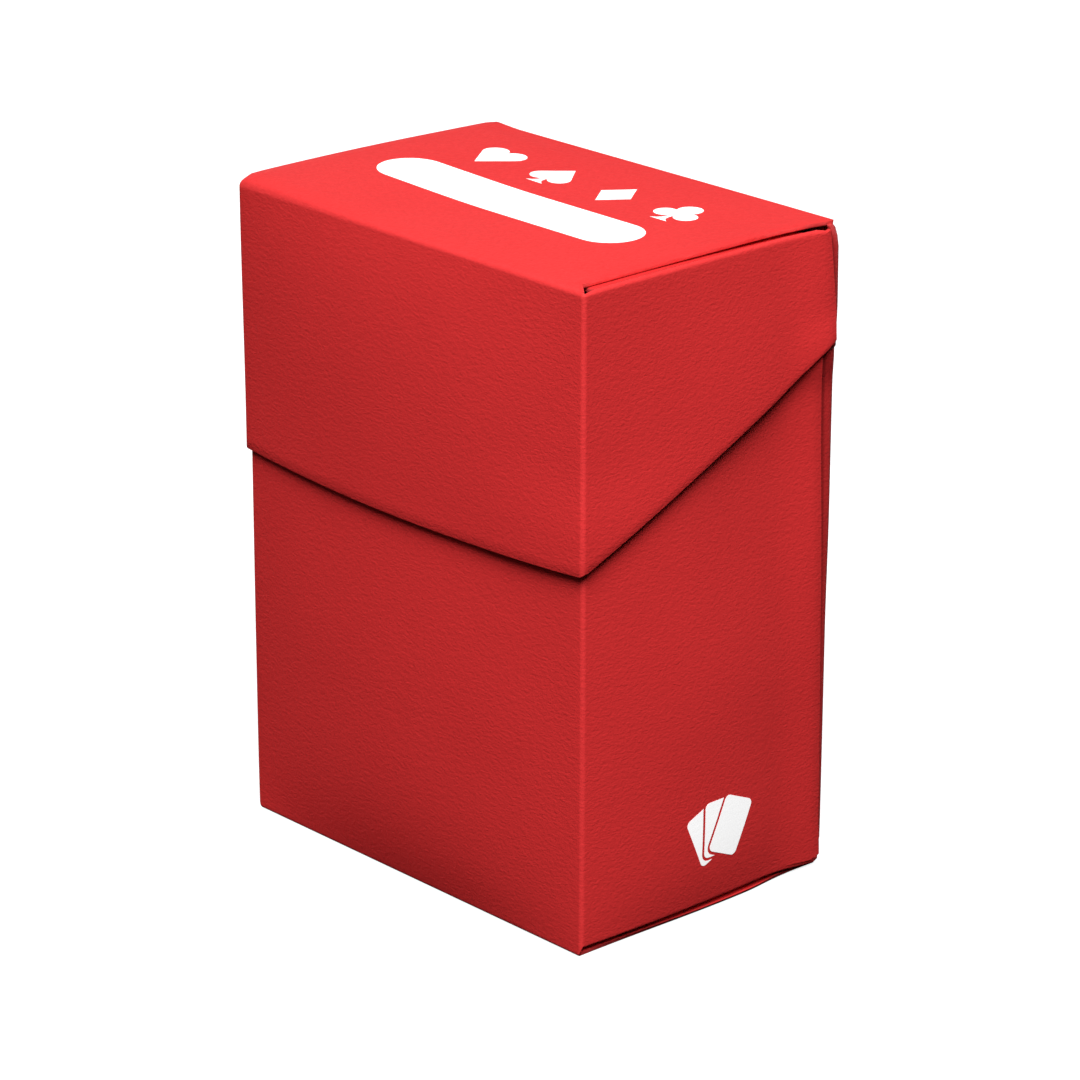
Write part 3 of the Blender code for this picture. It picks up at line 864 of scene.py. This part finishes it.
def floor_flap(label, side):
    centre = (FLOOR_FLAP_CENTRE_Z, BODY_X - BODY_FOLD)
    path = [
        line((centre[0] + LEAD, BODY_X), (centre[0], BODY_X)),
        arc(centre, BODY_FOLD, 90, 180),
        line((FLOOR_FLAP_Z, centre[1]), (FLOOR_FLAP_Z, FLOOR_FLAP_FREE_X)),
    ]
    seam_y = BODY_Y + BODY_FOLD
    fold_length = path[1][0]

    def past(s):
        """0 where the fold starts, 1 where it ends."""
        return (s - LEAD) / fold_length

    def chamfer(p):
        return max(0.0, FLOOR_FLAP_FREE_X + FLAP_CHAMFER - p.y)

    def front(s, p):
        return seam_y + (SHEET + FLOOR_FLAP_FRONT_CUT) * between(past(s), 0.62, 0.92) + chamfer(p)

    def back(s, p):
        return BODY_SIDE_BACK_Y - FLOOR_FLAP_BACK_CUT - chamfer(p)

    def held(s, p):
        return between(past(s), 0.62, 0.72)

    node = f"body_{label}_floor_flap"
    sheet_piece(f"{node}_sheet", "body", node, path, "Y", front, back, {"end", "low", "high"}, side,
                lift_side, held)


def body_floor():
    front_centre = (BODY_Y + BODY_FOLD, FLOOR_CENTRE_Z)
    back_centre = (BACK_Y - BACK_FOLD, BACK_FOLD)
    path = [
        line((BODY_Y, front_centre[1] + LEAD), (BODY_Y, front_centre[1])),
        arc(front_centre, BODY_FOLD, 180, 270),
        line((front_centre[0], 0), (back_centre[0], 0)),
        arc(back_centre, BACK_FOLD, 270, 360),
        line((BACK_Y, back_centre[1]), (BACK_Y, back_centre[1] + LEAD)),
    ]
    joined = LEAD + BODY_FOLD * CORNER_REACH

    def edge(s, p):
        wide = FLOOR_HALF_WIDTH + FLOOR_SWELL * between(p.x, -24, 6) - FLOOR_TAPER * between(p.x, 8, 20)
        wide -= rolled_corner(BACK_Y - p.x, 2.5)
        return mix(BODY_X - BODY_FOLD, wide, between(s, joined, joined + 2))

    def held(s, p):
        return between(s, joined, joined + 0.3)

    sheet_piece("body_floor_sheet", "body", "body_floor_panel", path, "X", lambda s, p: -edge(s, p), edge,
                {"low", "high"}, held=held)


def body():
    body_front()
    body_floor()
    for label, side in SIDES:
        body_side(label, side)
        floor_flap(label, side)
        glue_flap("body", label, side, BODY_GLUE_X, BODY_GLUE_FREE_Y, *BODY_BACK)
        corner_piece(f"body_{label}_corner_sheet", "body", BODY_X, BODY_Y, BODY_FOLD, FLOOR_CENTRE_Z,
                     FLOOR_FLAP_CENTRE_Z + SIDE_LIFT, -1, side)
    back_sheet("body", BODY_GLUE_X - GLUE_FOLD - LEAD, *BODY_BACK)


def hinge_web():
    """The thinned crease across the back, between the body and the lid; it rides on neither of them."""
    half = BODY_GLUE_X - GLUE_FOLD - LEAD
    columns = []
    for i in range(WEB_COLUMNS + 1):
        x = mix(half, -half, i / WEB_COLUMNS)
        column = []
        for j in range(WEB_ROWS + 1):
            z = mix(WEB_LOW_Z, WEB_HIGH_Z, j / WEB_ROWS)
            thinned = bell(2 * j / WEB_ROWS - 1)
            y = BACK_Y + back_out(x, BACK_Y, z)
            outer = Vector((x, y - WEB_GROOVE * thinned, z))
            inner = Vector((x, y - mix(SHEET, WEB_SHEET, thinned), z))
            column.append((outer, inner, 0.0, thinned))
        columns.append(column)
    web = sheet_from_grid("hinge_crease_web", None, "hinge_crease", columns)
    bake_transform(web)


# ---------------------------------------------------------------- printing

INK = 0.03
INK_GRID = 2.0
DIVIDER_GRID = 6.0
DIVIDER_BOW = 0.3
DIVIDER_ROLL = 0.12


def outward_face(node, axis, sign, spacing):
    """The flat side of a node that faces along sign * axis, in millimetres, cut into a grid."""
    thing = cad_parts[node]
    edit = bmesh.new()
    edit.from_mesh(thing.data)
    edit.transform(Matrix.Scale(1 / MM, 4) @ thing.matrix_world)
    edit.normal_update()
    away = [face for face in edit.faces if face.normal[axis] * sign < 0.9]
    bmesh.ops.delete(edit, geom=away, context="FACES")
    bmesh.ops.remove_doubles(edit, verts=edit.verts[:], dist=1e-4)
    bmesh.ops.dissolve_limit(edit, angle_limit=0.01, verts=edit.verts[:], edges=edit.edges[:])
    for across in range(3):
        places = [vertex.co[across] for vertex in edit.verts]
        first, last = min(places), max(places)
        normal = [float(k == across) for k in range(3)]
        for k in range(1, math.ceil((last - first) / spacing)):
            at = [(first + k * spacing) * part for part in normal]
            everything = edit.verts[:] + edit.edges[:] + edit.faces[:]
            bmesh.ops.bisect_plane(edit, geom=everything, plane_co=at, plane_no=normal, dist=1e-5)
    bmesh.ops.triangulate(edit, faces=edit.faces[:])
    edit.verts.index_update()
    return edit


def thicken(edit, axis, outer, inner):
    """Vertices and faces of the closed solid between outer and inner, places along the axis."""
    flat = [vertex.co.copy() for vertex in edit.verts]
    count = len(flat)
    faces = []
    for face in edit.faces:
        ring = [vertex.index for vertex in face.verts]
        faces += [tuple(ring), tuple(k + count for k in reversed(ring))]
    for border in edit.edges:
        if len(border.link_loops) == 1:
            loop = border.link_loops[0]
            a, b = loop.vert.index, loop.link_loop_next.vert.index
            faces.append((b, a, a + count, b + count))
    vertices = []
    for place in (outer, inner):
        for point in flat:
            point = point.copy()
            point[axis] = place
            vertices.append(point)
    edit.free()
    return vertices, faces


def film(body, node, axis, surface):
    """A thin raised print on the sheet whose outer surface lies there along the axis."""
    edit = outward_face(node, axis, 1, INK_GRID)
    vertices, faces = thicken(edit, axis, surface + INK, surface - INK)
    vertices = [BENDS[body](point) for point in vertices]
    zeros = [0.0] * len(vertices)
    new_piece(f"{node}_ink", body, node, WHITE, vertices, faces, {"cut": zeros, "fold": zeros})


def printing():
    film("lid", "write_on_label", 2, TOP_Z)
    for suit in ("heart", "spade", "diamond", "club"):
        film("lid", f"top_print_{suit}", 2, TOP_Z)
    for number in (1, 2, 3):
        film("body", f"side_print_card_{number}", 0, BODY_X)


# ---------------------------------------------------------------- divider


def divider():
    """A card-size sheet with rounded corners, rolled edges and a finger tab, bowed a little."""
    first, last = low("divider"), high("divider")
    edit = outward_face("divider", 1, -1, DIVIDER_GRID)
    vertices, faces = thicken(edit, 1, first.y, last.y)
    solid = bpy.data.meshes.new("divider_plain")
    solid.from_pydata(vertices, [], faces)
    edit = bmesh.new()
    edit.from_mesh(solid)
    edit.normal_update()
    rim = [edge for edge in edit.edges
           if sorted(abs(face.normal.y) > 0.5 for face in edge.link_faces) == [False, True]]
    bmesh.ops.bevel(edit, geom=rim, offset=DIVIDER_ROLL, segments=3, profile=0.5, affect="EDGES")
    edit.normal_update()
    edit.verts.index_update()
    cut = [float(any(abs(face.normal.y) < 0.98 for face in v.link_faces)) for v in edit.verts]
    middle = (first + last) / 2
    bent = []
    for vertex in edit.verts:
        x, y, z = vertex.co
        bow = DIVIDER_BOW * arch((x - middle.x) / (last.x - middle.x))
        bow *= arch((z - middle.z) / (last.z - middle.z + 20))
        bent.append(Vector((x, y + bow, z)))
    faces = [tuple(vertex.index for vertex in face.verts) for face in edit.faces]
    edit.free()
    bpy.data.meshes.remove(solid)
    new_piece("divider_frosted_sheet", "divider", "divider", FROSTED, bent, faces, {"cut": cut})


# ---------------------------------------------------------------- stage, light and camera

VIEW_AZIMUTH = 47.10
VIEW_ELEVATION = 20.62
VIEW_ROLL = 0.115
VIEW_DISTANCE = 635.9
VIEW_RIGHT, VIEW_UP = 0.71, -1.96
LENS, SENSOR = 148.7, 36.0


def towards(azimuth, elevation):
    """Unit vector from the box towards a place; azimuth 0 is the front, 90 the right."""
    a, e = math.radians(azimuth), math.radians(elevation)
    return Vector((math.sin(a) * math.cos(e), -math.cos(a) * math.cos(e), math.sin(e)))


def camera():
    back = towards(VIEW_AZIMUTH, VIEW_ELEVATION)
    right = Vector((0, 0, 1)).cross(back).normalized()
    up = back.cross(right)
    roll = math.radians(VIEW_ROLL)
    right, up = right * math.cos(roll) + up * math.sin(roll), up * math.cos(roll) - right * math.sin(roll)
    middle = Vector((0, 0, TOP_Z / 2))
    place = middle + right * VIEW_RIGHT + up * VIEW_UP + back * VIEW_DISTANCE
    data = bpy.data.cameras.new("camera")
    data.lens, data.sensor_width = LENS, SENSOR
    data.clip_start, data.clip_end = 0.01, 50
    thing = bpy.data.objects.new("camera", data)
    turn = Matrix((right, up, back)).transposed().to_4x4()
    thing.matrix_world = Matrix.Translation(place * MM) @ turn
    bpy.context.scene.collection.objects.link(thing)
    bpy.context.scene.camera = thing


KEY_AZIMUTH, KEY_ELEVATION = 48.0, 53.0
NEAR_LIGHTS = {         # azimuth, elevation, distance from the middle of the box, size, power
    "key_near": (KEY_AZIMUTH, KEY_ELEVATION, 300, 135, 0.27),
    "front_near": (24, 33, 190, 90, 0.017),
}
FAR_LIGHTS = {          # azimuth, elevation, angle, strength
    "key_far": (KEY_AZIMUTH, KEY_ELEVATION, 36, 3.20),
    "left_fill": (255, 6, 50, 0.7),
    "back_fill": (190, 4, 50, 0.6),
}
SKY_LIGHT = 0.30
FLOOR_GLOW = 0.80


def near_light(name, azimuth, elevation, distance, size, power):
    """A small softbox, brighter on what is nearer to it."""
    data = bpy.data.lights.new(name, "AREA")
    data.size, data.energy = size * MM, power
    thing = bpy.data.objects.new(name, data)
    out = towards(azimuth, elevation)
    thing.location = (Vector((0, 0, TOP_Z / 2)) + out * distance) * MM
    thing.rotation_euler = out.to_track_quat("Z", "Y").to_euler()
    thing.visible_camera = False
    bpy.context.scene.collection.objects.link(thing)


def far_light(name, azimuth, elevation, angle, strength):
    """A broad soft lamp so far away that its light is even."""
    data = bpy.data.lights.new(name, "SUN")
    data.energy, data.angle = strength, math.radians(angle)
    thing = bpy.data.objects.new(name, data)
    thing.rotation_euler = towards(azimuth, elevation).to_track_quat("Z", "Y").to_euler()
    bpy.context.scene.collection.objects.link(thing)


def sky():
    """White overhead, fading to nothing lower down."""
    world = bpy.data.worlds.new("studio")
    world.use_nodes = True
    tree = world.node_tree
    place = tree.nodes.new("ShaderNodeTexCoord").outputs["Generated"]
    split = tree.nodes.new("ShaderNodeSeparateXYZ")
    above = tree.nodes.new("ShaderNodeMapRange")
    above.inputs["From Min"].default_value, above.inputs["From Max"].default_value = 0.3, 0.95
    above.inputs["To Max"].default_value = SKY_LIGHT
    tree.links.new(place, split.inputs[0])
    tree.links.new(split.outputs["Z"], above.inputs["Value"])
    tree.links.new(above.outputs["Result"], tree.nodes["Background"].inputs["Strength"])
    tree.nodes["Background"].inputs["Color"].default_value = (1, 1, 1, 1)
    return world


def studio():
    mesh = bpy.data.meshes.new("floor")
    edit = bmesh.new()
    bmesh.ops.create_grid(edit, x_segments=24, y_segments=24, size=6.0)
    edit.to_mesh(mesh)
    edit.free()
    floor = bpy.data.objects.new("floor", mesh)
    floor.location.z = -0.02 * MM
    bpy.context.scene.collection.objects.link(floor)
    n = Nodes("floor_paper")
    shade = n.rescale(n.noise(120.0, detail=3.0), 0.3, 0.7, 0.0, 1.0)
    n.set(n.shader.inputs["Base Color"], n.blend(shade, *FLOOR_TONES))
    n.shader.inputs["Emission Color"].default_value = (1, 1, 1, 1)
    n.shader.inputs["Emission Strength"].default_value = FLOOR_GLOW
    n.shader.inputs["Roughness"].default_value = 0.9
    n.shader.inputs["Specular IOR Level"].default_value = 0.1
    mesh.materials.append(n.material)
    floor.visible_diffuse = floor.visible_glossy = False
    bpy.context.scene.world = sky()
    for name, settings in NEAR_LIGHTS.items():
        near_light(name, *settings)
    for name, settings in FAR_LIGHTS.items():
        far_light(name, *settings)
    bpy.context.scene.view_settings.view_transform = "Standard"


lid()
body()
hinge_web()
printing()
divider()
studio()
camera()
